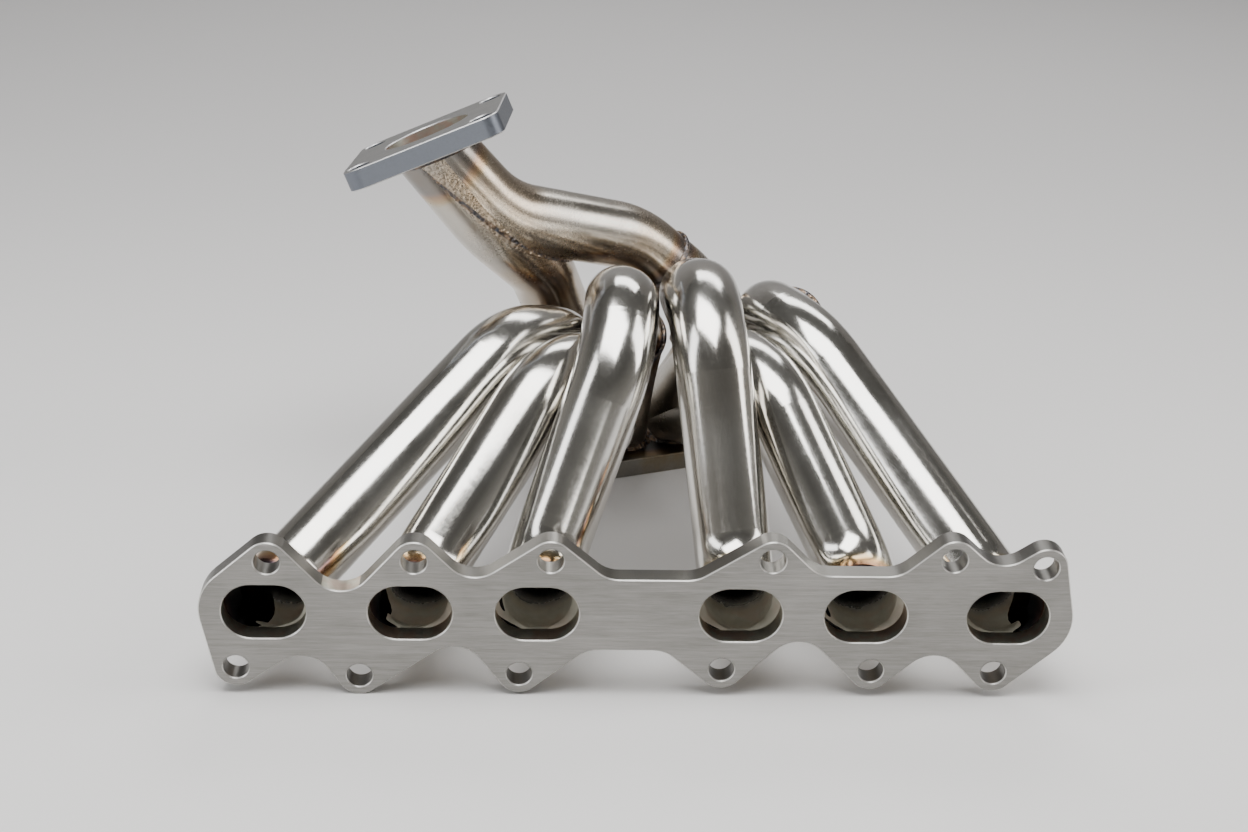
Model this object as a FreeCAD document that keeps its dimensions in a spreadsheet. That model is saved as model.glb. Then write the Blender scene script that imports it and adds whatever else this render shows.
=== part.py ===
import FreeCAD, Part
import Sketcher
import math
import os

# Twin-scroll exhaust manifold for a six-cylinder engine, with a wastegate outlet.
# Frame: X runs along the head flange, Y runs from the gasket face towards the turbo, Z is up.
# The origin is on the gasket face, midway between the six port centres. Millimetres.

Vec = FreeCAD.Vector
doc = FreeCAD.newDocument("exhaust_manifold")
sheet = doc.addObject("Spreadsheet::Sheet", "sizes")
sheet.Label = "sizes"
cells = []
nodes = []


def put(name, value):
    """Write one named size into the sheet."""
    cells.append(name)
    sheet.set("A%d" % len(cells), name)
    sheet.set("B%d" % len(cells), str(value))
    sheet.setAlias("B%d" % len(cells), name)


def put_point(name, point):
    for axis, value in zip("xyz", point):
        put("%s_%s" % (name, axis), value)


def size(name):
    return float(sheet.get(name))


def point(name):
    return Vec(*(size("%s_%s" % (name, axis)) for axis in "xyz"))


# --- plain sizes -------------------------------------------------------------------------
put("plate", 10)              # thickness of the head flange
put("edge_break", 0.5)        # filed bevel along the flange edges
put("port_width", 36.5)
put("port_height", 26)
put("stud_hole", 11.2)
put("lug_radius", 9.5)
put("valley_radius", 14)
put("end_radius", 22)
put("waist_top_left", 17.4)   # height of the straight top edge between the two middle lugs
put("waist_top_right", 20.2)
put("waist_bottom", 17.9)
put("tube_od", 34.9)
put("tube_wall", 2.1)
put("root_length", 6.5)        # oval-to-round transition at each port
put("collector_wall", 2.5)
put("spigot", 4)              # round collar at each collector inlet
put("bead", 1.5)              # height of a butt-weld bead
put("fillet_leg", 3)          # leg of a fillet-weld bead
put("turbo_plate", 10)
put("turbo_width", 106)
put("turbo_depth", 80)
put("turbo_corner", 12)
put("turbo_yaw", 19.9)
put("turbo_bolt_x", 84)
put("turbo_bolt_y", 60)
put("turbo_bolt_hole", 11)
put("scroll_width", 22)
put("scroll_length", 48)
put("scroll_offset", 15)      # each scroll opening sits this far from the flange centre
put("gate_plate", 10)
put("gate_side", 80)
put("gate_corner", 9)
put("gate_bolt_pitch", 63)
put("gate_bolt_hole", 11.5)
put("gate_bore", 43.5)
put("gate_bore_depth", 7)
put("gate_throat", 33)
put("seam_share", 0.5)        # where the right branch is butted, along that straight run
put("gate_weld_radius", 23.5)
put("gate_weld_height", 4)
put("branch_offset", 2.5)     # each branch leaves the flange this far from the bore centre

PORTS = [-162.5, -99.5, -44.5, 44.5, 99.5, 162.5]
for number, across in enumerate(PORTS, 1):
    put("port%d_at" % number, across)

# Lugs of the head flange: stud hole (X, Z) and the slopes of the left and right flanks.
LUGS = {
    "top": [(-160.4, 24.3, 41.5, 48), (-97.7, 25.2, 49, 46), (-39, 26.2, 35, 41),
            (57, 27.1, 33, 45), (136.1, 28.2, 42, 42), (176.7, 24.8, 35, 78)],
    "low": [(-175.4, -27.5, 78, 36), (-121.8, -31.5, 57, 36), (-51.9, -30.2, 54, 40),
            (37.4, -27.4, 40.5, 45), (103.8, -27.5, 46.5, 43), (158.8, -28.1, 47, 42.5)],
}
for side, lugs in LUGS.items():
    for number, (across, up, left, right) in enumerate(lugs, 1):
        for word, value in (("at", across), ("up", up), ("left", left), ("right", right)):
            put("%s%d_lug_%s" % (side, number, word), value)

# Centre lines of the runners: the bend points after the port, the end, and the bend radii.
RUNNERS = [
    ([(-155.5, 30, 0), (-58.3, 134.8, 72.4), (-33, 167.2, 59.8), (-36.7, 210, 32)], [34, 42, 34]),
    ([(-96, 35, 0), (-40.4, 97.1, 68.9), (-17.7, 126.6, 65.4), (-11.6, 144, 21), (-18.7, 187.8, 7.7)],
     [34, 42, 30, 34]),
    ([(-42.6, 39, 0), (-10.2, 75.5, 86.7), (-6.5, 104.3, 104.3), (-3.8, 178, 77.5), (4.3, 212.3, 43.8)],
     [32, 50, 30, 34]),
    ([(45.5, 38, 0), (30.6, 93.8, 112.4), (32.9, 180.1, 81.2), (48.3, 219.2, 37.5)], [32, 38, 34]),
    ([(102, 38, 0), (55.7, 107.8, 78.9), (44.8, 141.6, 57.7), (47.3, 160.2, 34.7), (57.9, 182.2, 11.6)],
     [34, 42, 30, 34]),
    ([(158.6, 32, 0), (86.4, 133.9, 75.2), (68.2, 168.3, 75.8), (88.6, 226.8, 47.5)], [34, 60, 34]),
]
# Wastegate branches, from their first bend down to the collectors.
BRANCHES = {
    "left": ([(-69.7, 211, 104.7), (-42.7, 240.1, 70.6), (-30, 259.4, 32.5)], [60, 50]),
    "right": ([(-63.7, 210.9, 110.2), (5.7, 248.6, 85.8), (38.2, 261.3, 55), (46.5, 259.9, 29)],
              [60, 60, 34]),
}
for number, (bends, radii) in enumerate(RUNNERS, 1):
    for step, bend in enumerate(bends, 1):
        put_point("run%d_bend%d" % (number, step), bend)
    for step, radius in enumerate(radii, 1):
        put("run%d_radius%d" % (number, step), radius)
for side, (bends, radii) in BRANCHES.items():
    for step, bend in enumerate(bends, 1):
        put_point("%s_bend%d" % (side, step), bend)
    for step, radius in enumerate(radii, 1):
        put("%s_radius%d" % (side, step), radius)

put_point("turbo", (12.85, 264.2, -41))       # centre of the turbo flange's lower face
put_point("gate", (-100.3, 200.6, 155.6))     # centre of the wastegate flange's outer face
put_point("gate_axis", (-0.396, 0.148, 0.906))
put_point("gate_across", (0.917, 0.002, 0.4))
doc.recompute()


# --- helpers -----------------------------------------------------------------------------
def bind(thing, prop, expression):
    """Tie a property to the sheet: names in braces are the sheet's sizes."""
    thing.setExpression(prop, expression.replace("{", "sizes.").replace("}", ""))


def make(kind, name, **bound):
    thing = doc.addObject(kind, name)
    for prop, expression in bound.items():
        bind(thing, prop, expression)
    return thing


def sub_part(thing, name):
    thing.Label = name
    nodes.append(thing)
    return thing


def combine(kind, name, *things):
    """Part::Cut takes a base and a tool, Part::MultiFuse takes any number of pieces."""
    thing = doc.addObject(kind, name)
    if kind == "Part::MultiFuse":
        thing.Shapes = list(things)
    else:
        thing.Base, thing.Tool = things
    return thing


def facing(origin, axis, across=None):
    """Placement whose Z points along axis and whose X lies as near as it can to across."""
    across = across or Vec(1, 0, 0)
    side = axis.cross(across)
    return FreeCAD.Placement(origin, FreeCAD.Rotation(side.cross(axis), side, axis, "ZXY"))


def corner(before, at, after, radius):
    """Start, middle and end of the arc that rounds one corner."""
    back = (before - at).normalize()
    ahead = (after - at).normalize()
    half = back.getAngle(ahead) / 2
    reach = radius / math.tan(half)
    middle = (back + ahead).normalize() * (radius / math.sin(half) - radius)
    return at + back * reach, at + middle, at + ahead * reach


def rounded(points, radii):
    """Closed outline of lines and arcs through the corner points."""
    arcs = []
    for index, radius in enumerate(radii):
        after = points[(index + 1) % len(points)]
        arcs.append(corner(points[index - 1], points[index], after, radius))
    pieces = []
    for index, arc in enumerate(arcs):
        pieces.append(Part.LineSegment(arcs[index - 1][2], arc[0]))
        pieces.append(Part.Arc(*arc))
    return pieces


def route(name, points, radii):
    """Centre line of a bent tube: straight runs joined by tangent arcs, as no sketch can hold it."""
    edges = []
    last = points[0]
    for index, radius in enumerate(radii, 1):
        arc = corner(points[index - 1], points[index], points[index + 1], radius)
        edges.append(Part.LineSegment(last, arc[0]).toShape())
        edges.append(Part.Arc(*arc).toShape())
        last = arc[2]
    edges.append(Part.LineSegment(last, points[-1]).toShape())
    line = doc.addObject("Part::Feature", name)
    line.Shape = Part.Wire(edges)
    line.Placement = FreeCAD.Placement()
    return line


def round_bar(name, line, radius):
    """Solid of a round section swept along a centre line."""
    first = line.Shape.Edges[0]
    start = first.valueAt(first.FirstParameter)
    section = make("Part::Circle", name + "_section", Radius=radius)
    # The seam starts at a corner of the four-arc ring that the tube may meet.
    section.Placement = facing(start, first.tangentAt(first.FirstParameter)).multiply(
        FreeCAD.Placement(Vec(0, 0, 0), FreeCAD.Rotation(Vec(0, 0, 1), 45)))
    bar = doc.addObject("Part::Sweep", name)
    bar.Sections = [section]
    bar.Spine = (line, ["Edge%d" % (index + 1) for index in range(len(line.Shape.Edges))])
    bar.Solid = True
    bar.Frenet = False
    return bar


def slot(sketch, across, up, long_side, short_side, upright=False):
    """Slot with round ends: its centre and two sizes are expressions of the sheet."""
    centre = Vec(number_of(across), number_of(up), 0)
    radius = number_of(short_side) / 2
    half = number_of(long_side) / 2 - radius
    turn = math.pi / 2 if upright else 0
    along = Vec(math.cos(turn), math.sin(turn), 0)
    normal = Vec(-along.y, along.x, 0)
    ends = []
    for way in (1, -1):
        middle = centre + along * half * way
        circle = Part.Circle(middle, Vec(0, 0, 1), radius)
        begin = turn + (-math.pi / 2 if way > 0 else math.pi / 2)
        ends.append(Part.ArcOfCircle(circle, begin, begin + math.pi))
    first = sketch.addGeometry([
        ends[0],
        Part.LineSegment(centre + along * half + normal * radius, centre - along * half + normal * radius),
        ends[1],
        Part.LineSegment(centre - along * half - normal * radius, centre + along * half - normal * radius),
    ], False)[0]
    for step in range(4):
        sketch.addConstraint(Sketcher.Constraint("Tangent", first + step, 2, first + (step + 1) % 4, 1))
    sketch.addConstraint(Sketcher.Constraint("Vertical" if upright else "Horizontal", first + 1))
    sketch.addConstraint(Sketcher.Constraint("Equal", first, first + 2))
    measured = sketch.addConstraint(Sketcher.Constraint("Radius", first, radius))
    bind(sketch, "Constraints[%d]" % measured, "(%s) / 2" % short_side)
    kind = "DistanceY" if upright else "DistanceX"
    measured = sketch.addConstraint(Sketcher.Constraint(kind, first + 2, 3, first, 3, 2 * half))
    bind(sketch, "Constraints[%d]" % measured, "(%s) - (%s)" % (long_side, short_side))
    shift = half if upright else 0
    sketch.addConstraint(Sketcher.Constraint("DistanceX", -1, 1, first, 3, centre.x + half - shift))
    sketch.addConstraint(Sketcher.Constraint("DistanceY", -1, 1, first, 3, centre.y + shift))


def number_of(expression):
    """Value of a sheet expression."""
    text = expression.replace("{", "sizes.").replace("}", "")
    return float(getattr(sheet.evalExpression(text), "Value", sheet.evalExpression(text)))


def holes(sketch, centres, diameter):
    for centre in centres:
        hole = sketch.addGeometry(Part.Circle(centre, Vec(0, 0, 1), number_of(diameter) / 2), False)
        measured = sketch.addConstraint(Sketcher.Constraint("Diameter", hole, number_of(diameter)))
        bind(sketch, "Constraints[%d]" % measured, diameter)
        sketch.addConstraint(Sketcher.Constraint("DistanceX", -1, 1, hole, 3, centre.x))
        sketch.addConstraint(Sketcher.Constraint("DistanceY", -1, 1, hole, 3, centre.y))


def body_sketch(body, name, role):
    sketch = body.newObject("Sketcher::SketchObject", name)
    origin_plane = next(item for item in body.Origin.OriginFeatures if item.Role == role)
    sketch.AttachmentSupport = [(origin_plane, "")]
    sketch.MapMode = "FlatFace"
    return sketch


def pad(body, name, sketch, depth, reversed_way):
    feature = body.newObject("PartDesign::Pad", name)
    feature.Profile = sketch
    bind(feature, "Length", depth)
    feature.Reversed = reversed_way
    doc.recompute()
    return feature


def pocket(body, name, sketch, reversed_way, depth=None):
    """Cut through the plate, or to a depth; the volume must fall."""
    before = body.Tip.Shape.Volume
    feature = body.newObject("PartDesign::Pocket", name)
    feature.Profile = sketch
    feature.Reversed = reversed_way
    if depth:
        bind(feature, "Length", depth)
    else:
        feature.Type = "ThroughAll"
    doc.recompute()
    if feature.Shape.Volume >= before:
        raise RuntimeError(name + " cuts nothing")
    return feature


def bevel(body, name, height, axis):
    """Bevel every edge of the flat face that lies at this height along the axis."""
    base = body.Tip
    faces = ["Face%d" % number for number, face in enumerate(base.Shape.Faces, 1)
             if face.Surface.TypeId == "Part::GeomPlane"
             and abs(abs(face.normalAt(0, 0).dot(axis)) - 1) < 1e-6
             and abs(face.CenterOfMass.dot(axis) - height) < 1e-4]
    feature = body.newObject("PartDesign::Chamfer", name)
    feature.Base = (base, faces)
    bind(feature, "Size", "{edge_break}")
    doc.recompute()
    return feature


# --- head flange -------------------------------------------------------------------------
def flank(side, number, hand):
    """Line n.p = d that touches a lug's round: its normal and distance."""
    name = "%s%d_lug_" % (side, number)
    slope = math.radians(size(name + hand))
    up = 1 if side == "top" else -1
    normal = Vec(math.sin(slope) * (1 if hand == "right" else -1), math.cos(slope) * up, 0)
    hole = Vec(size(name + "at"), size(name + "up"), 0)
    return normal, normal.dot(hole) + size("lug_radius")


def crossing(first, second):
    (one, reach_one), (two, reach_two) = first, second
    area = one.x * two.y - one.y * two.x
    return Vec((reach_one * two.y - reach_two * one.y) / area, (reach_two * one.x - reach_one * two.x) / area, 0)


lines = []
for number in range(1, 7):
    lines += [flank("top", number, "left"), flank("top", number, "right")]
    if number == 3:
        lines.append((Vec(0, 1, 0), size("waist_top_left")))
    if number == 4:
        lines.append((Vec(0, 1, 0), size("waist_top_right")))
for number in range(6, 0, -1):
    lines += [flank("low", number, "right"), flank("low", number, "left")]
    if number == 4:
        lines.append((Vec(0, -1, 0), size("waist_bottom")))
corners = [crossing(lines[index - 1], line) for index, line in enumerate(lines)]
# A corner where two flanks of one lug meet takes the lug's round; the two ends take their own.
radii = []
for index, at in enumerate(corners):
    before, after = corners[index - 1], corners[(index + 1) % len(corners)]
    turn = (at - before).cross(after - at).z
    lug = any(abs(size("%s%d_lug_at" % (side, number)) - at.x) < size("lug_radius") and
              size("%s%d_lug_up" % (side, number)) * at.y > 0
              for side in LUGS for number in range(1, 7))
    radii.append(size("valley_radius") if turn > 0 else size("lug_radius") if lug else size("end_radius"))

flange = doc.addObject("PartDesign::Body", "head_flange")
sketch = body_sketch(flange, "flange_outline", "XZ_Plane")
sketch.addGeometry(rounded(corners, radii), False)
pad(flange, "flange_plate", sketch, "{plate}", True)
bevel(flange, "back_bevel", size("plate"), Vec(0, 1, 0))
sketch = body_sketch(flange, "port_openings", "XZ_Plane")
for number in range(1, 7):
    slot(sketch, "{port%d_at}" % number, "0", "{port_width}", "{port_height}")
pocket(flange, "ports", sketch, False)
sketch = body_sketch(flange, "stud_circles", "XZ_Plane")
holes(sketch, [Vec(size("%s%d_lug_at" % (side, number)), size("%s%d_lug_up" % (side, number)), 0)
               for side in LUGS for number in range(1, 7)], "{stud_hole}")
pocket(flange, "stud_holes", sketch, False)
bevel(flange, "face_bevel", 0, Vec(0, 1, 0))
sub_part(flange, "head_flange")

# --- turbo flange ------------------------------------------------------------------------
turbo_turn = FreeCAD.Rotation(Vec(0, 0, 1), size("turbo_yaw"))
turbo_face = FreeCAD.Placement(point("turbo"), turbo_turn)


def rectangle(width, depth):
    return [Vec(x * width / 2, y * depth / 2, 0) for x, y in ((-1, -1), (1, -1), (1, 1), (-1, 1))]


turbo = doc.addObject("PartDesign::Body", "turbo_flange")
sketch = body_sketch(turbo, "turbo_outline", "XY_Plane")
sketch.addGeometry(rounded(rectangle(size("turbo_width"), size("turbo_depth")), [size("turbo_corner")] * 4), False)
pad(turbo, "turbo_plate_pad", sketch, "{turbo_plate}", False)
bevel(turbo, "turbo_top_bevel", size("turbo_plate"), Vec(0, 0, 1))
sketch = body_sketch(turbo, "scroll_openings", "XY_Plane")
for hand in ("-", ""):
    slot(sketch, hand + "{scroll_offset}", "0", "{scroll_length}", "{scroll_width}", upright=True)
pocket(turbo, "scrolls", sketch, True)
sketch = body_sketch(turbo, "turbo_bolts", "XY_Plane")
holes(sketch, rectangle(size("turbo_bolt_x"), size("turbo_bolt_y")), "{turbo_bolt_hole}")
pocket(turbo, "turbo_bolt_holes", sketch, True)
bevel(turbo, "turbo_face_bevel", 0, Vec(0, 0, 1))
turbo.Placement = turbo_face
sub_part(turbo, "turbo_flange")

# --- wastegate flange --------------------------------------------------------------------
gate_face = facing(point("gate"), point("gate_axis").normalize(), point("gate_across"))
gate = doc.addObject("PartDesign::Body", "wastegate_flange")
sketch = body_sketch(gate, "gate_outline", "XY_Plane")
sketch.addGeometry(rounded(rectangle(size("gate_side"), size("gate_side")), [size("gate_corner")] * 4), False)
pad(gate, "gate_plate_pad", sketch, "{gate_plate}", True)
bevel(gate, "gate_back_bevel", -size("gate_plate"), Vec(0, 0, 1))
sketch = body_sketch(gate, "gate_bore_circle", "XY_Plane")
holes(sketch, [Vec(0, 0, 0)], "{gate_bore}")
pocket(gate, "gate_bore_cut", sketch, False, "{gate_bore_depth}")
sketch = body_sketch(gate, "gate_holes", "XY_Plane")
holes(sketch, [Vec(0, 0, 0)], "{gate_throat}")
holes(sketch, rectangle(size("gate_bolt_pitch"), size("gate_bolt_pitch")), "{gate_bolt_hole}")
pocket(gate, "gate_holes_cut", sketch, False)
bevel(gate, "gate_face_bevel", 0, Vec(0, 0, 1))
gate.Placement = gate_face
sub_part(gate, "wastegate_flange")


# --- runners -----------------------------------------------------------------------------
def slot_face(name, at, long_side, short_side, upright=False):
    """Free sketch of one slot, the profile of a loft."""
    profile = doc.addObject("Sketcher::SketchObject", name)
    slot(profile, "0", "0", long_side, short_side, upright)
    profile.Placement = at
    return profile


def ring_face(name, at, radius, upright=False):
    """Free sketch of a circle in four arcs, which matches the four edges of a slot."""
    profile = doc.addObject("Sketcher::SketchObject", name)
    circle = Part.Circle(Vec(0, 0, 0), Vec(0, 0, 1), number_of(radius))
    begin = math.pi / 4 if upright else -math.pi / 4
    arcs = [Part.ArcOfCircle(circle, begin + step * math.pi / 2, begin + (step + 1) * math.pi / 2)
            for step in range(4)]
    profile.addGeometry(arcs, False)
    for step in range(4):
        profile.addConstraint(Sketcher.Constraint("Coincident", step, 2, (step + 1) % 4, 1))
        profile.addConstraint(Sketcher.Constraint("Coincident", step, 3, -1, 1))
    measured = profile.addConstraint(Sketcher.Constraint("Radius", 0, number_of(radius)))
    bind(profile, "Constraints[%d]" % measured, radius)
    profile.Placement = at
    return profile


def loft(name, sections):
    thing = doc.addObject("Part::Loft", name)
    thing.Sections = sections
    thing.Solid = True
    thing.Ruled = True
    return thing


OUTER = "{tube_od} / 2"
INNER = "{tube_od} / 2 - {tube_wall}"
port_face = FreeCAD.Rotation(Vec(1, 0, 0), 90)
runner_ends = {}
runner_skins = {}
for number in range(1, 7):
    name = "runner_%d" % number
    bends = RUNNERS[number - 1][0]
    start = Vec(size("port%d_at" % number), size("plate"), 0)
    points = [start] + [point("run%d_bend%d" % (number, step + 1)) for step in range(len(bends))]
    ahead = (points[1] - points[0]).normalize()
    points[0] = start + ahead * size("root_length")
    line = route(name + "_line", points, [size("run%d_radius%d" % (number, step + 1))
                                          for step in range(len(bends) - 1)])
    shapes = []
    for layer, radius, grow in (("outer", OUTER, "+ 2 * {tube_wall}"), ("inner", INNER, "")):
        mouth = slot_face("%s_%s_mouth" % (name, layer), FreeCAD.Placement(start, port_face),
                          "{port_width} " + grow, "{port_height} " + grow)
        ring = ring_face("%s_%s_ring" % (name, layer), facing(points[0], -ahead), radius)
        root = loft("%s_%s_root" % (name, layer), [mouth, ring])
        bar = round_bar("%s_%s_bar" % (name, layer), line, radius)
        shapes.append(combine("Part::MultiFuse", "%s_%s" % (name, layer), root, bar))
    sub_part(combine("Part::Cut", name, *shapes), name)
    runner_skins[number] = shapes[0]
    runner_ends[number] = (points[-1], (points[-1] - points[-2]).normalize())

# --- collectors --------------------------------------------------------------------------
# Each collector joins three runners and one wastegate branch above one scroll opening.
gate_under = point("gate") - gate_face.Rotation.multVec(Vec(0, 0, 1)) * size("gate_plate")
branch_points = {}
for side, (bends, radii) in BRANCHES.items():
    shift = size("branch_offset") * (-1 if side == "left" else 1)
    start = gate_under + gate_face.Rotation.multVec(Vec(1, 0, 0)) * shift
    branch_points[side] = [start] + [point("%s_bend%d" % (side, step + 1)) for step in range(len(bends))]
inlets = {
    "left": [runner_ends[1], runner_ends[2], runner_ends[3]],
    "right": [runner_ends[4], runner_ends[5], runner_ends[6]],
}
outlet_top = point("turbo") + Vec(0, 0, size("turbo_plate"))
skins = {}
for side, hand in (("left", -1), ("right", 1)):
    last = branch_points[side]
    inlets[side].append((last[-1], (last[-1] - last[-2]).normalize()))
    name = "collector_" + side
    across = turbo_turn.multVec(Vec(1, 0, 0))
    outlet = outlet_top + across * size("scroll_offset") * hand
    shapes = []
    for layer, radius, grow in (("outer", OUTER, "+ 2 * {collector_wall}"), ("inner", INNER, "")):
        pieces = []
        for number, (end, ahead) in enumerate(inlets[side], 1):
            stub = make("Part::Cylinder", "%s_%s_stub%d" % (name, layer, number), Radius=radius, Height="{spigot}")
            stub.Placement = facing(end, ahead)
            ring = ring_face("%s_%s_ring%d" % (name, layer, number),
                             facing(end + ahead * size("spigot"), -ahead, across), radius, upright=True)
            foot = slot_face("%s_%s_foot%d" % (name, layer, number), FreeCAD.Placement(outlet, turbo_turn),
                             "{scroll_length} " + grow, "{scroll_width} " + grow, upright=True)
            pieces += [stub, loft("%s_%s_horn%d" % (name, layer, number), [ring, foot])]
        shapes.append(combine("Part::MultiFuse", "%s_%s" % (name, layer), *pieces))
    skins[name] = shapes[0]
    sub_part(combine("Part::Cut", name, *shapes), name)

# --- wastegate branches ------------------------------------------------------------------
# The left branch is coped onto the right one just under the flange; both are cut off flush
# with its lower face.
above = make("Part::Box", "above_gate", Length="{gate_side}", Width="{gate_side}", Height="{gate_side}")
above.Placement = FreeCAD.Placement(
    gate_under - gate_face.Rotation.multVec(Vec(size("gate_side") / 2, size("gate_side") / 2, 0)),
    gate_face.Rotation)
bars = {}
for side, points in branch_points.items():
    ahead = (points[1] - points[0]).normalize()
    overrun = [points[0] - ahead * size("tube_od")] + points[1:]
    line = route(side + "_branch_line", overrun, [size("%s_radius%d" % (side, step + 1))
                                                  for step in range(len(points) - 2)])
    for layer, radius in (("outer", OUTER), ("inner", INNER), ("raised", OUTER + " + {bead}")):
        bars[side, layer] = round_bar("%s_branch_%s" % (side, layer), line, radius)
bores = combine("Part::MultiFuse", "branch_bores", bars["left", "inner"], bars["right", "inner"], above)
right_full = combine("Part::Cut", "right_branch_full", bars["right", "outer"], bores)
cope = combine("Part::MultiFuse", "branch_cope", bars["right", "outer"], bores)
sub_part(combine("Part::Cut", "wastegate_branch_left", bars["left", "outer"], cope), "wastegate_branch_left")

# The right branch is two tubes, butted halfway along its last straight run but one.
seam_from, seam_to = branch_points["right"][2], branch_points["right"][3]
seam_ahead = (seam_to - seam_from).normalize()
seam_at = seam_from + seam_ahead * seam_from.distanceToPoint(seam_to) * size("seam_share")
beyond = make("Part::Box", "beyond_seam", Length="4 * {tube_od}", Width="4 * {tube_od}", Height="4 * {tube_od}")
turned = facing(seam_at, seam_ahead)
beyond.Placement = FreeCAD.Placement(
    seam_at - turned.Rotation.multVec(Vec(2, 2, 0)) * size("tube_od"), turned.Rotation)
sub_part(combine("Part::Cut", "wastegate_branch_right", right_full, beyond), "wastegate_branch_right")
sub_part(combine("Part::Common", "wastegate_branch_elbow", right_full, beyond), "wastegate_branch_elbow")


# --- welds -------------------------------------------------------------------------------
def butt_bead(name, at, ahead):
    """Half-round bead around a butt joint between two tubes."""
    ring = make("Part::Torus", name + "_ring", Radius1=OUTER, Radius2="{bead}")
    ring.Placement = facing(at, ahead)
    core = make("Part::Cylinder", name + "_core", Radius=OUTER, Height="4 * {bead}")
    core.Placement = facing(at - ahead * 2 * size("bead"), ahead)
    return sub_part(combine("Part::Cut", name, ring, core), name)


def fillet_bead(name, foot, top, long_side, short_side, upright):
    """Sloped bead around a slot-shaped tube end, from its foot on the plate up to its top."""
    wide = slot_face(name + "_foot", foot, long_side + " + 2 * {fillet_leg}",
                     short_side + " + 2 * {fillet_leg}", upright)
    return loft(name + "_slope", [wide, slot_face(name + "_top", top, long_side, short_side, upright)])


for number in range(1, 7):
    name = "port_weld_%d" % number
    start = Vec(size("port%d_at" % number), size("plate"), 0)
    slope = fillet_bead(name, FreeCAD.Placement(start, port_face),
                        FreeCAD.Placement(start + Vec(0, size("fillet_leg"), 0), port_face),
                        "{port_width} + 2 * {tube_wall}", "{port_height} + 2 * {tube_wall}", False)
    sub_part(combine("Part::Cut", name, slope, runner_skins[number]), name)
    butt_bead("runner_collector_weld_%d" % number, *runner_ends[number])
for side in BRANCHES:
    butt_bead("branch_collector_weld_" + side, *inlets[side][-1])
butt_bead("branch_seam_weld", seam_at, seam_ahead)

slopes = []
for side, hand in (("left", -1), ("right", 1)):
    outlet = outlet_top + turbo_turn.multVec(Vec(1, 0, 0)) * size("scroll_offset") * hand
    slopes.append(fillet_bead("turbo_weld_" + side, FreeCAD.Placement(outlet, turbo_turn),
                              FreeCAD.Placement(outlet + Vec(0, 0, size("fillet_leg")), turbo_turn),
                              "{scroll_length} + 2 * {collector_wall}",
                              "{scroll_width} + 2 * {collector_wall}", True))
both = combine("Part::MultiFuse", "turbo_weld_slopes", *slopes)
walls = combine("Part::MultiFuse", "collector_skins", skins["collector_left"], skins["collector_right"])
sub_part(combine("Part::Cut", "turbo_flange_weld", both, walls), "turbo_flange_weld")

branch_ahead = (branch_points["left"][1] - branch_points["left"][0]).normalize()
weld_top = gate_under + branch_ahead * size("gate_weld_height")
weld_ring = []
for word, at, radius in (("foot", gate_under, "{gate_weld_radius}"),
                         ("top", weld_top, "{gate_weld_radius} - {fillet_leg}")):
    ring = make("Part::Circle", "gate_weld_" + word, Radius=radius)
    ring.Placement = FreeCAD.Placement(at, gate_face.Rotation)
    weld_ring.append(ring)
collar = loft("gate_weld_slope", weld_ring)
branch_skins = combine("Part::MultiFuse", "branch_skins", bars["left", "outer"], bars["right", "outer"])
sub_part(combine("Part::Cut", "wastegate_flange_weld", collar, branch_skins), "wastegate_flange_weld")

crotch = combine("Part::Common", "crotch", bars["left", "raised"], bars["right", "raised"])
around = combine("Part::MultiFuse", "crotch_neighbours", branch_skins, above, collar)
sub_part(combine("Part::Cut", "branch_crotch_weld", crotch, around), "branch_crotch_weld")

# --- check and export --------------------------------------------------------------------
doc.recompute()
for thing in doc.Objects:
    if {"Invalid", "Error"} & set(thing.State):
        raise RuntimeError(thing.Label + " did not recompute")
for thing in nodes:
    if thing.Shape.isNull() or not thing.Shape.isValid() or thing.Shape.Volume <= 0:
        raise RuntimeError(thing.Label + " has no valid shape")
os.makedirs("parts", exist_ok=True)
for thing in nodes:
    solids = thing.Shape.Solids
    print(thing.Label, len(solids), "solid, volume", round(thing.Shape.Volume))
    thing.Shape.exportStep("parts/%s.step" % thing.Label)
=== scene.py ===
# %% [markdown]
# # A welded exhaust manifold in a small studio
# The manifold is a stiff weldment of plate, bent tube and weld metal, so every shape comes from
# the CAD model and nothing moves. Blender's work is the finish: ground plate, polished tube,
# satin collectors, rippled beads, and the colours that welding heat leaves on stainless steel.

# %% Load the frame
import math
import bmesh
import bpy
from mathutils import Matrix, Vector


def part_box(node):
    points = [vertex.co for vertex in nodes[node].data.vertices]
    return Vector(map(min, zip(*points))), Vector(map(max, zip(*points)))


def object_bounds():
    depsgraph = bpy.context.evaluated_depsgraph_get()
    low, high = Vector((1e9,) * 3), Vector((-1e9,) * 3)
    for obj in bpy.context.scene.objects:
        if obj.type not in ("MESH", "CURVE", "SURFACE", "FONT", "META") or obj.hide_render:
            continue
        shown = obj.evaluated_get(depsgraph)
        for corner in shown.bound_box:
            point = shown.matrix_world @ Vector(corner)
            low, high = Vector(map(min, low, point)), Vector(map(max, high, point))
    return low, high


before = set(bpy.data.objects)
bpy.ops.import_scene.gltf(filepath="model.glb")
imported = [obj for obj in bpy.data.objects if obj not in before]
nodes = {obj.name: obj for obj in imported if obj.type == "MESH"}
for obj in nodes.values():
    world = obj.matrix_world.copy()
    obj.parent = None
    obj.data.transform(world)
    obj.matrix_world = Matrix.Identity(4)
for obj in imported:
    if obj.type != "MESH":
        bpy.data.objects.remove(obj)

cad_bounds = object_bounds()
print("nodes:", len(nodes), "box:", [round(v, 3) for corner in cad_bounds for v in corner])

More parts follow.
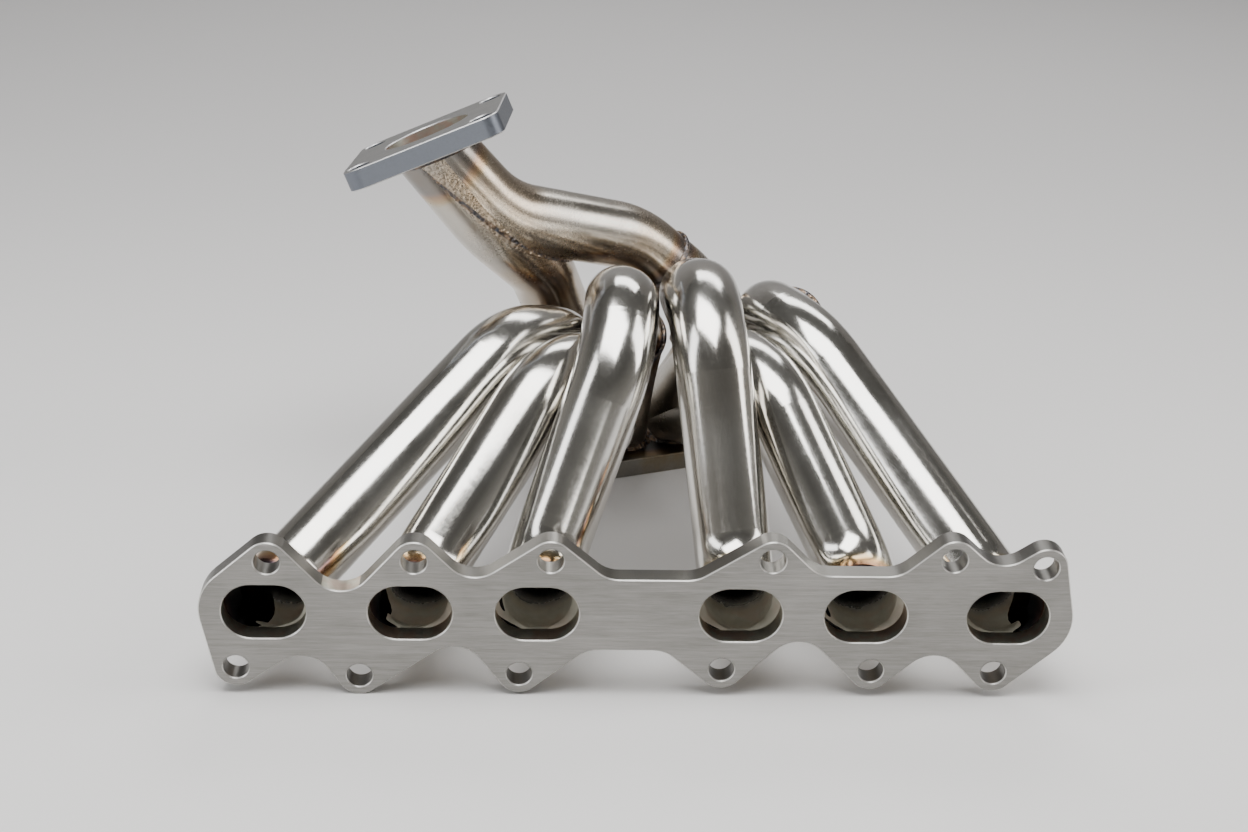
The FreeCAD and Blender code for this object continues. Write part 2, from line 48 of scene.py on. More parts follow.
# %% [markdown]
# ## Camera
# The camera stands a little left of the middle and looks down at about 25 degrees. A long lens
# keeps the flange from bulging. Its three axes are written as directions, which is simpler to
# check than three angles: right, up and back.

# %% Camera
LENS_MM = 59.45
CAMERA_AT = Vector((-0.0553, -0.7787, 0.4508))
CAMERA_RIGHT = Vector((0.9985, -0.0425, 0.0341))
CAMERA_AHEAD = Vector((0.0529, 0.9084, -0.4147))

camera_data = bpy.data.cameras.new("camera")
camera_data.lens = LENS_MM
camera_data.sensor_width = 36
camera_data.clip_start = 0.01
camera = bpy.data.objects.new("camera", camera_data)
bpy.context.scene.collection.objects.link(camera)
back = -CAMERA_AHEAD.normalized()
right = (CAMERA_RIGHT - back * CAMERA_RIGHT.dot(back)).normalized()
up = back.cross(right)
camera.matrix_world = Matrix.Translation(CAMERA_AT) @ Matrix((right, up, back)).transposed().to_4x4()
bpy.context.scene.camera = camera
print("camera is", round(CAMERA_AT.length, 3), "m from the gasket face")

# %% [markdown]
# ## Floor
# One pale sheet runs under the manifold and curves up far behind it, as a paper sweep does in a
# studio, so no horizon line shows. The floor meets the lowest point of the model.

# %% Studio sweep
FLOOR_Z = cad_bounds[0][2]
SWEEP_HALF_WIDTH = 2.6
SWEEP_FRONT = -2.2
SWEEP_BEND_START = 1.7
SWEEP_BEND_RADIUS = 0.9
SWEEP_TOP = 2.4


def sweep_profile():
    """Floor, quarter bend and wall, as (y, z) pairs."""
    steps = 24
    points = [(SWEEP_FRONT, FLOOR_Z)]
    for step in range(steps + 1):
        turn = math.pi / 2 * step / steps
        points.append((SWEEP_BEND_START + SWEEP_BEND_RADIUS * math.sin(turn),
                       FLOOR_Z + SWEEP_BEND_RADIUS * (1 - math.cos(turn))))
    points.append((SWEEP_BEND_START + SWEEP_BEND_RADIUS, SWEEP_TOP))
    return points


mesh = bmesh.new()
rows = [[mesh.verts.new((x, y, z)) for x in (-SWEEP_HALF_WIDTH, SWEEP_HALF_WIDTH)]
        for y, z in sweep_profile()]
for near, far in zip(rows, rows[1:]):
    mesh.faces.new((near[0], near[1], far[1], far[0])).smooth = True
sweep_mesh = bpy.data.meshes.new("studio_sweep")
mesh.to_mesh(sweep_mesh)
mesh.free()
sweep = bpy.data.objects.new("studio_sweep", sweep_mesh)
bpy.context.scene.collection.objects.link(sweep)
print("floor at z =", round(FLOOR_Z, 4))

# %% [markdown]
# ## Light
# Polished tube has no look of its own: it shows the room. A broad soft box overhead draws the
# long white streak down each runner, two smaller ones at the sides give the thinner second
# streaks, and the dim warm room between them leaves the dark bands. The room is lighter near the
# horizon than overhead, so those bands shade off instead of being one flat grey. A weak strip in
# front reaches into the ports.

# %% Lights
def soft_box(name, place, aim, width, depth, watts, tint=(1, 1, 1)):
    """Rectangular area light at a place, turned to face a point."""
    data = bpy.data.lights.new(name, "AREA")
    data.shape = "RECTANGLE"
    data.size, data.size_y = width, depth
    data.energy = watts
    data.color = tint
    lamp = bpy.data.objects.new(name, data)
    lamp.location = place
    lamp.rotation_euler = (Vector(aim) - Vector(place)).to_track_quat("-Z", "Y").to_euler()
    bpy.context.scene.collection.objects.link(lamp)


MIDDLE = (0.0, 0.12, 0.03)
soft_box("overhead_box", (-0.15, -0.15, 1.35), MIDDLE, 1.3, 0.9, 26)
soft_box("left_box", (-1.35, -0.35, 0.75), MIDDLE, 0.5, 1.1, 7, (0.97, 0.98, 1))
soft_box("right_box", (1.35, 0.05, 0.8), MIDDLE, 0.6, 1.1, 10, (1, 0.98, 0.96))
soft_box("rear_box", (0.3, 1.35, 1.25), MIDDLE, 1.2, 0.5, 9)
soft_box("front_fill", (-0.1, -1.6, 0.28), (0, 0, 0), 1.5, 0.35, 5.0, (1, 0.99, 0.95))

# %% Room
ROOM_TONES = ((0.30, (0.30, 0.29, 0.27, 1)), (0.55, (0.16, 0.155, 0.145, 1)))
ROOM_BELOW = (0.50, 0.48, 0.445, 1)
ROOM_TOP = (0.20, 0.195, 0.185, 1)
ROOM_STRENGTH = 0.6

world = bpy.data.worlds.new("dim_room")
bpy.context.scene.world = world
world.use_nodes = True
room = world.node_tree.nodes["Background"]
ways = world.node_tree.nodes.new("ShaderNodeTexCoord")
split = world.node_tree.nodes.new("ShaderNodeSeparateXYZ")
walls = world.node_tree.nodes.new("ShaderNodeValToRGB")
world.node_tree.links.new(ways.outputs["Generated"], split.inputs[0])
world.node_tree.links.new(split.outputs["Z"], walls.inputs[0])
world.node_tree.links.new(walls.outputs[0], room.inputs["Color"])
walls.color_ramp.elements[0].color = ROOM_BELOW
walls.color_ramp.elements[1].color = ROOM_TOP
for height, tone in ROOM_TONES:
    walls.color_ramp.elements.new(height).color = tone
room.inputs["Strength"].default_value = ROOM_STRENGTH
print("room tones:", len(walls.color_ramp.elements))

# %% [markdown]
# ## Small helpers for materials
# A material is a tree of nodes. These helpers add a node, set its plain values and join its
# inputs in one line, which keeps each finish short enough to read.

# %% Node helpers
def add(tree, kind, **settings):
    made = tree.nodes.new(kind)
    for name, value in settings.items():
        setattr(made, name, value)
    return made


def feed(tree, socket, value):
    """Join an output to an input, or set the input's own value."""
    if isinstance(value, bpy.types.NodeSocket):
        tree.links.new(value, socket)
    else:
        socket.default_value = value


def maths(tree, operation, *values, clamp=False):
    made = add(tree, "ShaderNodeMath", operation=operation, use_clamp=clamp)
    for index, value in enumerate(values):
        feed(tree, made.inputs[index], value)
    return made.outputs[0]


def blend(tree, amount, low, high):
    """Colour mix: low at 0, high at 1."""
    made = add(tree, "ShaderNodeMix", data_type="RGBA")
    feed(tree, made.inputs[0], amount)
    feed(tree, made.inputs[6], low)
    feed(tree, made.inputs[7], high)
    return made.outputs[2]


def blend_value(tree, amount, low, high):
    """Number mix: low at 0, high at 1."""
    made = add(tree, "ShaderNodeMix", data_type="FLOAT")
    feed(tree, made.inputs[0], amount)
    feed(tree, made.inputs[2], low)
    feed(tree, made.inputs[3], high)
    return made.outputs[0]


def between(tree, value, from_low, from_high, to_low=0.0, to_high=1.0):
    """Clamped smooth change of range."""
    made = add(tree, "ShaderNodeMapRange", interpolation_type="SMOOTHSTEP")
    for index, part in enumerate((value, from_low, from_high, to_low, to_high)):
        feed(tree, made.inputs[index], part)
    return made.outputs[0]


def colour(red, green, blue):
    return (red, green, blue, 1)


def noise(tree, place, scale, detail=4.0, roughness=0.55, stretch=(1, 1, 1)):
    """Noise in metres, drawn out along some axes."""
    turned = add(tree, "ShaderNodeVectorMath", operation="MULTIPLY")
    feed(tree, turned.inputs[0], place)
    turned.inputs[1].default_value = stretch
    made = add(tree, "ShaderNodeTexNoise")
    feed(tree, made.inputs["Vector"], turned.outputs[0])
    made.inputs["Scale"].default_value = scale
    made.inputs["Detail"].default_value = detail
    made.inputs["Roughness"].default_value = roughness
    return made.outputs["Fac"]


def new_group(name, inputs, outputs):
    """Empty node group with named sockets; gives the tree and its two ends."""
    tree = bpy.data.node_groups.new(name, "ShaderNodeTree")
    for label, kind, value in inputs:
        socket = tree.interface.new_socket(label, in_out="INPUT", socket_type=kind)
        if value is not None:
            socket.default_value = value
    for label, kind in outputs:
        tree.interface.new_socket(label, in_out="OUTPUT", socket_type=kind)
    return tree, tree.nodes.new("NodeGroupInput"), tree.nodes.new("NodeGroupOutput")


def use(tree, group, **values):
    made = tree.nodes.new("ShaderNodeGroup")
    made.node_tree = group
    for name, value in values.items():
        feed(tree, made.inputs[name.replace("_", " ")], value)
    return made.outputs


# %% [markdown]
# ## Heat colours
# Stainless steel takes on colour as it is heated: straw, then brown, purple and blue next to the
# bead. One group turns a distance from the weld into that band of colour. The noise makes the
# edge of each band wander, as it does where the torch slowed down.

# %% Heat tint group
heat_tint, ends_in, ends_out = new_group(
    "heat_tint",
    [("Base", "NodeSocketColor", colour(0.6, 0.6, 0.6)), ("Place", "NodeSocketVector", None),
     ("Distance", "NodeSocketFloat", 1.0), ("Reach", "NodeSocketFloat", 0.012),
     ("Strength", "NodeSocketFloat", 1.0)],
    [("Color", "NodeSocketColor")])
wander = noise(heat_tint, ends_in.outputs["Place"], 90)
shifted = maths(heat_tint, "MULTIPLY", ends_in.outputs["Distance"],
                maths(heat_tint, "ADD", maths(heat_tint, "MULTIPLY", wander, 0.9), 0.55))
share = maths(heat_tint, "DIVIDE", shifted, ends_in.outputs["Reach"], clamp=True)
band = add(heat_tint, "ShaderNodeValToRGB")
feed(heat_tint, band.inputs[0], share)
band.color_ramp.elements[0].color = colour(0.10, 0.11, 0.15)
band.color_ramp.elements[1].color = colour(0.88, 0.85, 0.78)
for position, tone in ((0.10, (0.22, 0.16, 0.20)), (0.22, (0.42, 0.22, 0.12)),
                       (0.40, (0.72, 0.46, 0.22)), (0.68, (0.90, 0.78, 0.55))):
    band.color_ramp.elements.new(position).color = colour(*tone)
tinted = add(heat_tint, "ShaderNodeMix", data_type="RGBA", blend_type="MULTIPLY")
feed(heat_tint, tinted.inputs[0], 1.0)
feed(heat_tint, tinted.inputs[6], ends_in.outputs["Base"])
feed(heat_tint, tinted.inputs[7], band.outputs[0])
fade = maths(heat_tint, "MULTIPLY", between(heat_tint, share, 0.55, 1.0, 1.0, 0.0),
             ends_in.outputs["Strength"])
feed(heat_tint, ends_out.inputs["Color"],
     blend(heat_tint, fade, ends_in.outputs["Base"], tinted.outputs[2]))
print("heat tint bands:", len(band.color_ramp.elements))

# %% [markdown]
# ## Ground plate
# A belt grinder leaves fine straight lines. The group stretches noise hard along one axis and
# gives both a shade, for colour and roughness, and a height, for a very small bump.

# %% Ground grain group
ground_grain, ends_in, ends_out = new_group(
    "ground_grain",
    [("Place", "NodeSocketVector", None), ("Depth", "NodeSocketFloat", 1.0)],
    [("Shade", "NodeSocketFloat"), ("Height", "NodeSocketFloat")])
fine = noise(ground_grain, ends_in.outputs["Place"], 1, 6, 0.75, stretch=(90, 4200, 4200))
broad = noise(ground_grain, ends_in.outputs["Place"], 1, 3, 0.6, stretch=(22, 700, 700))
blotch = noise(ground_grain, ends_in.outputs["Place"], 22, 3, 0.5)
summed = maths(ground_grain, "ADD", maths(ground_grain, "MULTIPLY", fine, 0.5),
               maths(ground_grain, "ADD", maths(ground_grain, "MULTIPLY", broad, 0.3),
                     maths(ground_grain, "MULTIPLY", blotch, 0.2)))
feed(ground_grain, ends_out.inputs["Shade"], between(ground_grain, summed, 0.32, 0.68))
feed(ground_grain, ends_out.inputs["Height"], maths(ground_grain, "MULTIPLY", fine, ends_in.outputs["Depth"]))
print("ground grain nodes:", len(ground_grain.nodes))

# %% [markdown]
# ## Tube skin, port stain and weld ripple
# Three more groups, each shared by several materials. The tube skin gives a tone that drifts
# slowly along a tube, fine polishing lines and an optional straw veil; a wide range of roughness
# makes it polish, a high one makes it satin. The stain is the dull coat that the machined and
# sooty inside walls carry. The ripple is a row of small scales with the colours of cooled weld.

# %% Tube skin group
tube_skin, ends_in, ends_out = new_group(
    "tube_skin",
    [("Place", "NodeSocketVector", None), ("Tone", "NodeSocketColor", colour(0.7, 0.7, 0.7)),
     ("Straw", "NodeSocketFloat", 0.0), ("Smooth", "NodeSocketFloat", 0.1),
     ("Coarse", "NodeSocketFloat", 0.2)],
    [("Color", "NodeSocketColor"), ("Roughness", "NodeSocketFloat"), ("Height", "NodeSocketFloat")])
cloud = noise(tube_skin, ends_in.outputs["Place"], 26, 4)
lines = noise(tube_skin, ends_in.outputs["Place"], 900, 2, 0.6, stretch=(1, 0.35, 1))
dimmed = blend(tube_skin, cloud, colour(0.80, 0.79, 0.77), colour(1, 1, 1))
shaded = add(tube_skin, "ShaderNodeMix", data_type="RGBA", blend_type="MULTIPLY")
feed(tube_skin, shaded.inputs[0], 1.0)
feed(tube_skin, shaded.inputs[6], ends_in.outputs["Tone"])
feed(tube_skin, shaded.inputs[7], dimmed)
veil = maths(tube_skin, "MULTIPLY", ends_in.outputs["Straw"],
             between(tube_skin, noise(tube_skin, ends_in.outputs["Place"], 17, 4), 0.40, 0.68))
feed(tube_skin, ends_out.inputs["Color"], blend(tube_skin, veil, shaded.outputs[2], colour(0.50, 0.37, 0.24)))
worn = maths(tube_skin, "ADD", maths(tube_skin, "MULTIPLY", cloud, 0.6),
             maths(tube_skin, "MULTIPLY", lines, 0.4))
feed(tube_skin, ends_out.inputs["Roughness"],
     between(tube_skin, worn, 0.3, 0.7, ends_in.outputs["Smooth"], ends_in.outputs["Coarse"]))
feed(tube_skin, ends_out.inputs["Height"],
     maths(tube_skin, "ADD", cloud, maths(tube_skin, "MULTIPLY", lines, 0.03)))
print("tube skin nodes:", len(tube_skin.nodes))

# %% Port stain group
port_stain, ends_in, ends_out = new_group(
    "port_stain",
    [("Place", "NodeSocketVector", None), ("Red", "NodeSocketFloat", 0.3)],
    [("Color", "NodeSocketColor"), ("Roughness", "NodeSocketFloat")])
patch = noise(port_stain, ends_in.outputs["Place"], 70, 4)
green_grey = blend(port_stain, noise(port_stain, ends_in.outputs["Place"], 300, 3),
                   colour(0.46, 0.46, 0.38), colour(0.64, 0.62, 0.55))
rusty = maths(port_stain, "MULTIPLY", ends_in.outputs["Red"], between(port_stain, patch, 0.45, 0.62))
feed(port_stain, ends_out.inputs["Color"], blend(port_stain, rusty, green_grey, colour(0.56, 0.38, 0.30)))
feed(port_stain, ends_out.inputs["Roughness"], between(port_stain, patch, 0.3, 0.7, 0.38, 0.58))
print("port stain nodes:", len(port_stain.nodes))

# %% Weld ripple group
weld_ripple, ends_in, ends_out = new_group(
    "weld_ripple",
    [("Place", "NodeSocketVector", None)],
    [("Color", "NodeSocketColor"), ("Roughness", "NodeSocketFloat"), ("Height", "NodeSocketFloat")])
lumps = add(weld_ripple, "ShaderNodeTexVoronoi", feature="SMOOTH_F1")
feed(weld_ripple, lumps.inputs["Vector"], ends_in.outputs["Place"])
lumps.inputs["Scale"].default_value = 620
ripple = maths(weld_ripple, "SUBTRACT", 1.0, lumps.outputs["Distance"])
tones = add(weld_ripple, "ShaderNodeValToRGB")
feed(weld_ripple, tones.inputs[0], noise(weld_ripple, ends_in.outputs["Place"], 240, 3))
tones.color_ramp.elements[0].position = 0.3
tones.color_ramp.elements[0].color = colour(0.06, 0.07, 0.09)
tones.color_ramp.elements[1].position = 0.75
tones.color_ramp.elements[1].color = colour(0.40, 0.37, 0.33)
tones.color_ramp.elements.new(0.47).color = colour(0.14, 0.125, 0.12)
tones.color_ramp.elements.new(0.60).color = colour(0.27, 0.19, 0.13)
feed(weld_ripple, ends_out.inputs["Color"], tones.outputs[0])
feed(weld_ripple, ends_out.inputs["Roughness"], between(weld_ripple, ripple, 0.2, 0.8, 0.5, 0.28))
feed(weld_ripple, ends_out.inputs["Height"], ripple)
print("node groups:", len(bpy.data.node_groups))

# %% [markdown]
# ## What every material starts from
# Each finish is metal with its patterns placed in the model's own metres, so no pattern slides when
# the camera moves. Direction and distance do the masking: a plate's flat and rim differ in where
# they face, and heat colours follow the distance from a bead.


# %% Material frame
def finish(name):
    """New metal material: its tree, its shader and the place on the object."""
    made = bpy.data.materials.new(name)
    made.use_nodes = True
    tree = made.node_tree
    shader = tree.nodes["Principled BSDF"]
    shader.inputs["Metallic"].default_value = 1.0
    place = add(tree, "ShaderNodeTexCoord").outputs["Object"]
    return made, tree, shader, place


def bump(tree, shader, height, strength, distance):
    made = add(tree, "ShaderNodeBump")
    made.inputs["Strength"].default_value = strength
    made.inputs["Distance"].default_value = distance
    feed(tree, made.inputs["Height"], height)
    feed(tree, shader.inputs["Normal"], made.outputs[0])


def parts_of(tree, vector):
    made = add(tree, "ShaderNodeSeparateXYZ")
    feed(tree, made.inputs[0], vector)
    return made.outputs


def facing(tree, direction):
    """How squarely the surface faces a direction, either way: 1 on the flat faces, 0 on the rim."""
    made = add(tree, "ShaderNodeVectorMath", operation="DOT_PRODUCT")
    feed(tree, made.inputs[0], add(tree, "ShaderNodeNewGeometry").outputs["True Normal"])
    made.inputs[1].default_value = direction
    return maths(tree, "ABSOLUTE", made.outputs["Value"])


def distance_to(tree, place, point):
    made = add(tree, "ShaderNodeVectorMath", operation="DISTANCE")
    feed(tree, made.inputs[0], place)
    made.inputs[1].default_value = point
    return made.outputs["Value"]


def middle_of(name):
    """Middle of a node's box."""
    low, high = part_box(name)
    return (Vector(low) + Vector(high)) / 2


def wear(name, material):
    """Give a CAD node its finish."""
    data = nodes[name].data
    data.materials.clear()
    data.materials.append(material)


# %% [markdown]
# ## Plate finishes
# The three flanges are the same steel, ground on the flats and sawn or milled on the rim. Where
# the flat turns into the rim a narrow band is painted light: a painted highlight standing in for the
# glint of a small edge bevel. The rim, that painted highlight and the flats are told apart by the
# direction the surface faces, so one material can cover a whole plate.

# %% Flange materials
RIM_BRIGHTER = 1.35


def plate_finish(name, axis, flat_low, flat_high, rim, bevel_highlight_colour, flat_rough, rim_rough,
                 grain_turn=(0, 0, 0)):
    """Plate material that still wants its base colour; square is 1 where the surface is flat."""
    made, tree, shader, place = finish(name)
    turned = add(tree, "ShaderNodeMapping")
    feed(tree, turned.inputs["Vector"], place)
    turned.inputs["Rotation"].default_value = grain_turn
    grain = use(tree, ground_grain, Place=turned.outputs[0], Depth=1.0)
    square = facing(tree, axis)
    flat = between(tree, square, 0.9, 0.98)
    # Painted highlight: a bright band on the slope between flat and rim, standing in for the glint of an edge
    # bevel.
    bevel_highlight_mask = maths(tree, "MULTIPLY", between(tree, square, 0.35, 0.6), maths(tree, "SUBTRACT", 1.0, flat))
    milled = noise(tree, place, 700, 3)
    flats = blend(tree, grain["Shade"], flat_low, flat_high)
    rims = blend(tree, milled, rim, tuple(min(1, v * RIM_BRIGHTER) for v in rim[:3]) + (1,))
    skin = blend(tree, bevel_highlight_mask, blend(tree, flat, rims, flats), bevel_highlight_colour)
    rough = blend_value(tree, flat, between(tree, milled, 0.2, 0.8, rim_rough - 0.06, rim_rough + 0.08),
                        between(tree, grain["Shade"], 0, 1, flat_rough + 0.07, flat_rough - 0.05))
    feed(tree, shader.inputs["Roughness"], rough)
    height = maths(tree, "ADD", grain["Height"], maths(tree, "MULTIPLY", milled, 0.5))
    bump(tree, shader, height, 0.22, 0.00012)
    return made, tree, shader, place, skin, square


# %% Head flange
PORT_HALF_HEIGHT = 0.0134
PORT_REACH = 0.183
HEAD_FACES = (0, 1, 0)
# The fourth colour is the painted highlight along the plate's edges.
head_steel, tree, shader, place, skin, square = plate_finish(
    "head_flange_ground", HEAD_FACES, colour(0.22, 0.215, 0.20), colour(0.35, 0.34, 0.325),
    colour(0.17, 0.165, 0.155), colour(0.62, 0.61, 0.58), 0.50, 0.36)
x, y, z = parts_of(tree, place)
in_port = maths(tree, "MULTIPLY", maths(tree, "LESS_THAN", maths(tree, "ABSOLUTE", z), PORT_HALF_HEIGHT),
                maths(tree, "LESS_THAN", maths(tree, "ABSOLUTE", x), PORT_REACH))
in_port = maths(tree, "MULTIPLY", in_port, maths(tree, "LESS_THAN", square, 0.5))
stain = use(tree, port_stain, Place=place, Red=0.6)["Color"]
feed(tree, shader.inputs["Base Color"], blend(tree, in_port, skin, stain))
wear("head_flange", head_steel)
print("head flange:", head_steel.name)

# %% Wastegate flange
GATE_GRAIN_TURN = (0, 0.41, 0)
BORE_MASK_START = 0.021
BORE_MASK_END = 0.026
gate_axis = Vector((-0.396, 0.148, 0.906)).normalized()
# The fourth colour is the painted highlight along the plate's edges.
gate_steel, tree, shader, place, skin, square = plate_finish(
    "wastegate_flange_milled", gate_axis, colour(0.40, 0.40, 0.40), colour(0.52, 0.52, 0.51),
    colour(0.155, 0.168, 0.195), colour(0.66, 0.66, 0.66), 0.36, 0.42, GATE_GRAIN_TURN)
in_bore = between(tree, distance_to(tree, place, middle_of("wastegate_flange")),
                  BORE_MASK_START, BORE_MASK_END, 1.0, 0.0)
soot = use(tree, port_stain, Place=place, Red=0.9)["Color"]
feed(tree, shader.inputs["Base Color"],
     blend(tree, maths(tree, "MULTIPLY", in_bore, maths(tree, "LESS_THAN", square, 0.5)), skin, soot))
wear("wastegate_flange", gate_steel)
print("wastegate flange:", gate_steel.name)

# %% Turbo flange
TURBO_FACES = (0, 0, 1)
TURBO_WELD_SPAN = 0.030
# The fourth colour is the painted highlight along the plate's edges.
turbo_steel, tree, shader, place, skin, square = plate_finish(
    "turbo_flange_milled", TURBO_FACES, colour(0.22, 0.21, 0.19), colour(0.32, 0.31, 0.28),
    colour(0.20, 0.19, 0.17), colour(0.5, 0.49, 0.46), 0.40, 0.34)
from_weld = distance_to(tree, place, middle_of("turbo_flange_weld"))
warm = use(tree, heat_tint, Base=skin, Place=place, Reach=0.016, Strength=0.8,
           Distance=maths(tree, "SUBTRACT", from_weld, TURBO_WELD_SPAN))
feed(tree, shader.inputs["Base Color"], warm["Color"])
wear("turbo_flange", turbo_steel)
print("turbo flange:", turbo_steel.name)

# %% [markdown]
# ## Polished tube
# The runners are mirror polished: a clean, slightly warm reflection, broken only by fine polishing
# lines and a soft unevenness where the tube was bent. Close to each joint the heat colours stay.
# A joint is written as the middle of its bead, the bead's radius and how far the colours reach.

# %% Tube materials
def heat_near(tree, place, skin, joints, strength=1.0):
    """Heat colours around welds; joints are (middle of the bead, its radius, reach) of each."""
    for at, bead_radius, reach in joints:
        gap = maths(tree, "MAXIMUM", maths(tree, "SUBTRACT", distance_to(tree, place, at), bead_radius), 0.0)
        skin = use(tree, heat_tint, Base=skin, Place=place, Distance=gap, Reach=reach,
                   Strength=strength)["Color"]
    return skin


# %% Inside of a runner's root
ROOT_START = 0.010
ROOT_END = 0.0165
OVAL_HALF_WIDTH = 0.0193
OVAL_HALF_HEIGHT = 0.0140
MID_WALL_RADIUS = 0.0164
STAIN_FADE_START = 0.024
STAIN_FADE_END = 0.038


def root_inside(tree, place, port_x, lean):
    """1 on the inside wall of a runner near its port: an oval that turns round, on a leaning axis."""
    x, y, z = parts_of(tree, place)
    along = between(tree, y, ROOT_START, ROOT_END)
    across = maths(tree, "SUBTRACT", maths(tree, "SUBTRACT", x, port_x), maths(tree, "MULTIPLY", y, lean))
    wide = maths(tree, "DIVIDE", across,
                 between(tree, along, 0, 1, OVAL_HALF_WIDTH, MID_WALL_RADIUS))
    high = maths(tree, "DIVIDE", z,
                 between(tree, along, 0, 1, OVAL_HALF_HEIGHT, MID_WALL_RADIUS))
    spread = maths(tree, "ADD", maths(tree, "MULTIPLY", wide, wide), maths(tree, "MULTIPLY", high, high))
    fade = between(tree, y, STAIN_FADE_START, STAIN_FADE_END, 1.0, 0.0)
    return maths(tree, "MULTIPLY", maths(tree, "LESS_THAN", spread, 1.0), fade)


print("stain fades out", round(STAIN_FADE_END, 3), "m from the gasket face")

# %% Tube finish
OXIDE_METALLIC = 0.15


def tube_finish(name, tone, smooth, coarse, joints, straw=0.0, strength=1.0, port=None):
    """Polished tube. With a port it also gets the stained inside wall of its root."""
    made, tree, shader, place = finish(name)
    coat = use(tree, tube_skin, Place=place, Tone=tone, Straw=straw, Smooth=smooth, Coarse=coarse)
    skin = heat_near(tree, place, coat["Color"], joints, strength)
    rough = coat["Roughness"]
    if port:
        inside = root_inside(tree, place, *port)
        stain = use(tree, port_stain, Place=place, Red=0.25)
        skin = blend(tree, inside, skin, stain["Color"])
        rough = blend_value(tree, inside, rough, stain["Roughness"])
        feed(tree, shader.inputs["Metallic"], blend_value(tree, inside, 1.0, OXIDE_METALLIC))
    feed(tree, shader.inputs["Base Color"], skin)
    feed(tree, shader.inputs["Roughness"], rough)
    bump(tree, shader, coat["Height"], 0.16, 0.0012)
    return made


# %% Runners
TUBE_RADIUS = 0.01745
PORT_WELD_RADIUS = 0.0165
RUNNER_TONE = colour(0.76, 0.75, 0.72)
PORT_X = (-0.1625, -0.0995, -0.0445, 0.0445, 0.0995, 0.1625)
ROOT_LEAN = (0.35, 0.14, 0.066, 0.036, 0.089, -0.177)
for number, (port_x, lean) in enumerate(zip(PORT_X, ROOT_LEAN), 1):
    joints = [(middle_of("runner_collector_weld_%d" % number), TUBE_RADIUS, 0.006)]
    low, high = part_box("port_weld_%d" % number)
    joints.append((Vector(((low[0] + high[0]) / 2, low[1], 0)), PORT_WELD_RADIUS, 0.010))
    polish = tube_finish("runner_polish_%d" % number, RUNNER_TONE, 0.10, 0.22, joints,
                         straw=0.12, port=(port_x, lean))
    wear("runner_%d" % number, polish)
print("runners finished:", len(PORT_X))

# %% Wastegate branches
GATE_WELD_RADIUS = 0.021
BRANCH_TONE = colour(0.60, 0.565, 0.51)
under_gate = middle_of("wastegate_flange_weld")
for name in ("wastegate_branch_left", "wastegate_branch_right", "wastegate_branch_elbow"):
    joints = [(under_gate, GATE_WELD_RADIUS, 0.007)]
    if name != "wastegate_branch_left":
        joints.append((middle_of("branch_seam_weld"), TUBE_RADIUS, 0.004))
    wear(name, tube_finish(name + "_polish", BRANCH_TONE, 0.16, 0.30, joints, straw=0.6, strength=0.6))
    print(name, "has", len(joints), "heated joints")

# %% [markdown]
# ## Collectors and beads
# The collectors are left satin, since a polishing wheel can't reach between them. The beads are
# small overlapping scales: a smoothed Voronoi pattern gives the bumps, and noise gives the colours.

# %% Satin collectors
COLLECTOR_TONE = colour(0.42, 0.39, 0.34)
COLLECTOR_HEAT = 0.6


def satin_finish(name, joints):
    made, tree, shader, place = finish(name)
    coat = use(tree, tube_skin, Place=place, Tone=COLLECTOR_TONE, Straw=0.3, Smooth=0.24, Coarse=0.42)
    feed(tree, shader.inputs["Base Color"],
         heat_near(tree, place, coat["Color"], joints, COLLECTOR_HEAT))
    feed(tree, shader.inputs["Roughness"], coat["Roughness"])
    bump(tree, shader, noise(tree, place, 1500, 2), 0.12, 0.0002)
    return made


RUNNERS_OF = {"collector_left": (1, 2, 3), "collector_right": (4, 5, 6)}
for name, numbers in RUNNERS_OF.items():
    joined = ["runner_collector_weld_%d" % number for number in numbers]
    joined.append("branch_collector_weld_" + name.split("_")[1])
    wear(name, satin_finish(name + "_satin", [(middle_of(bead), TUBE_RADIUS, 0.008) for bead in joined]))
    print(name, "has", len(joined), "beads")

# %% [markdown]
# ## One narrow bead
# The crotch bead is a wide sliver of metal in the CAD model, but in the photo only a thin dark line
# shows along it. The line lies in one plane, so the plane is worked out from the bead's own points,
# and the finish is weld close to it and tube skin away from it.

# %% Bead finish
SEAM_HALF_WIDTH = 0.0007
SEAM_EDGE = 0.0016
CROTCH_TONE = colour(0.46, 0.41, 0.35)


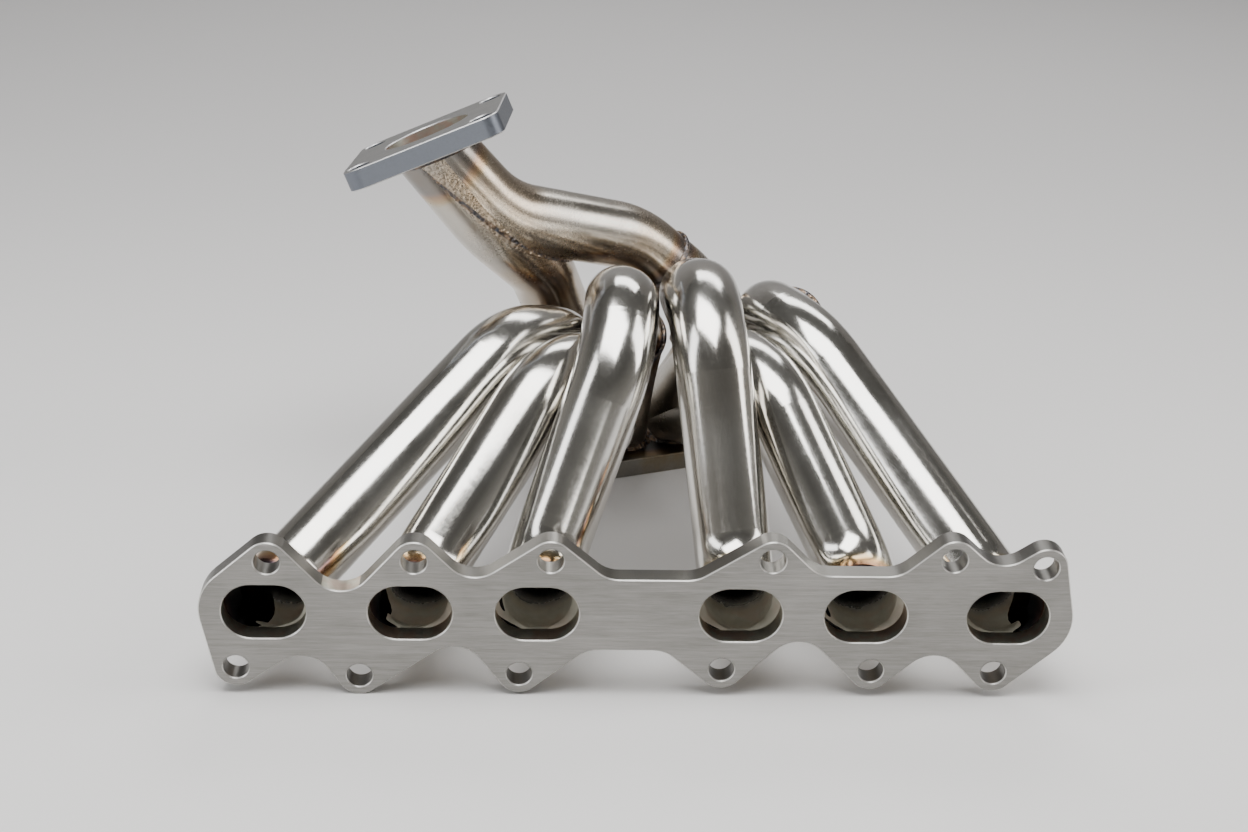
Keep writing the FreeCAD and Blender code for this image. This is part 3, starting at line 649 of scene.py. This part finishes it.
def bead_finish(name, seam=None):
    """Weld metal. With a seam plane (point, normal) only a narrow line is bead and the rest is tube."""
    made, tree, shader, place = finish(name)
    weld = use(tree, weld_ripple, Place=place)
    skin, rough = weld["Color"], weld["Roughness"]
    if seam:
        offset = add(tree, "ShaderNodeVectorMath", operation="SUBTRACT")
        feed(tree, offset.inputs[0], place)
        offset.inputs[1].default_value = seam[0]
        along = add(tree, "ShaderNodeVectorMath", operation="DOT_PRODUCT")
        feed(tree, along.inputs[0], offset.outputs[0])
        along.inputs[1].default_value = seam[1]
        off_line = between(tree, maths(tree, "ABSOLUTE", along.outputs["Value"]),
                           SEAM_HALF_WIDTH, SEAM_EDGE)
        coat = use(tree, tube_skin, Place=place, Tone=CROTCH_TONE, Straw=0.8, Smooth=0.18, Coarse=0.34)
        skin = blend(tree, off_line, skin, coat["Color"])
        rough = blend_value(tree, off_line, rough, coat["Roughness"])
    feed(tree, shader.inputs["Base Color"], skin)
    feed(tree, shader.inputs["Roughness"], rough)
    bump(tree, shader, weld["Height"], 0.8, 0.0012)
    return made


# %% Beads
ROUNDS = 60
TINY = 1e-9


def thin_direction(points):
    """Middle of a cloud of points and the direction in which it is thinnest, by inverse iteration."""
    middle = sum(points, Vector()) / len(points)
    spread = Matrix.Diagonal((TINY, TINY, TINY))
    for point in points:
        away = point - middle
        for row in range(3):
            for column in range(3):
                spread[row][column] += away[row] * away[column]
    inverse = spread.inverted()
    guess = Vector((1, 0.1, 0.3))
    for _ in range(ROUNDS):
        guess = (inverse @ guess).normalized()
    return middle, guess


beads = sorted(name for name in nodes if "weld" in name)
crotch = nodes["branch_crotch_weld"]
seam_plane = thin_direction([crotch.matrix_world @ vertex.co for vertex in crotch.data.vertices])
print("crotch seam faces", [round(v, 3) for v in seam_plane[1]])
for name in beads:
    wear(name, bead_finish(name + "_metal", seam_plane if name == "branch_crotch_weld" else None))
print("beads finished:", len(beads))

# %% [markdown]
# ## Paper
# The sweep is matt paper. It gets a little greyer towards the back, which stands in for the
# fall-off of the lights in a bigger room, and a faint unevenness keeps it from being flat.

# %% Paper material
PAPER_NEAR = colour(0.84, 0.83, 0.82)
PAPER_FAR = colour(0.60, 0.59, 0.59)
NEAR_Y = -0.1
FAR_Y = 0.9
paper, tree, shader, place = finish("sweep_paper")
shader.inputs["Metallic"].default_value = 0.0
shader.inputs["Roughness"].default_value = 0.75
nearness = between(tree, parts_of(tree, place)[1], NEAR_Y, FAR_Y, 0.9, 0.0)
uneven = maths(tree, "MULTIPLY", noise(tree, place, 3, 3), 0.1)
feed(tree, shader.inputs["Base Color"],
     blend(tree, maths(tree, "ADD", nearness, uneven), PAPER_FAR, PAPER_NEAR))
bump(tree, shader, noise(tree, place, 600, 2), 0.05, 0.0002)
sweep_mesh.materials.append(paper)
print("paper on", sweep.name)
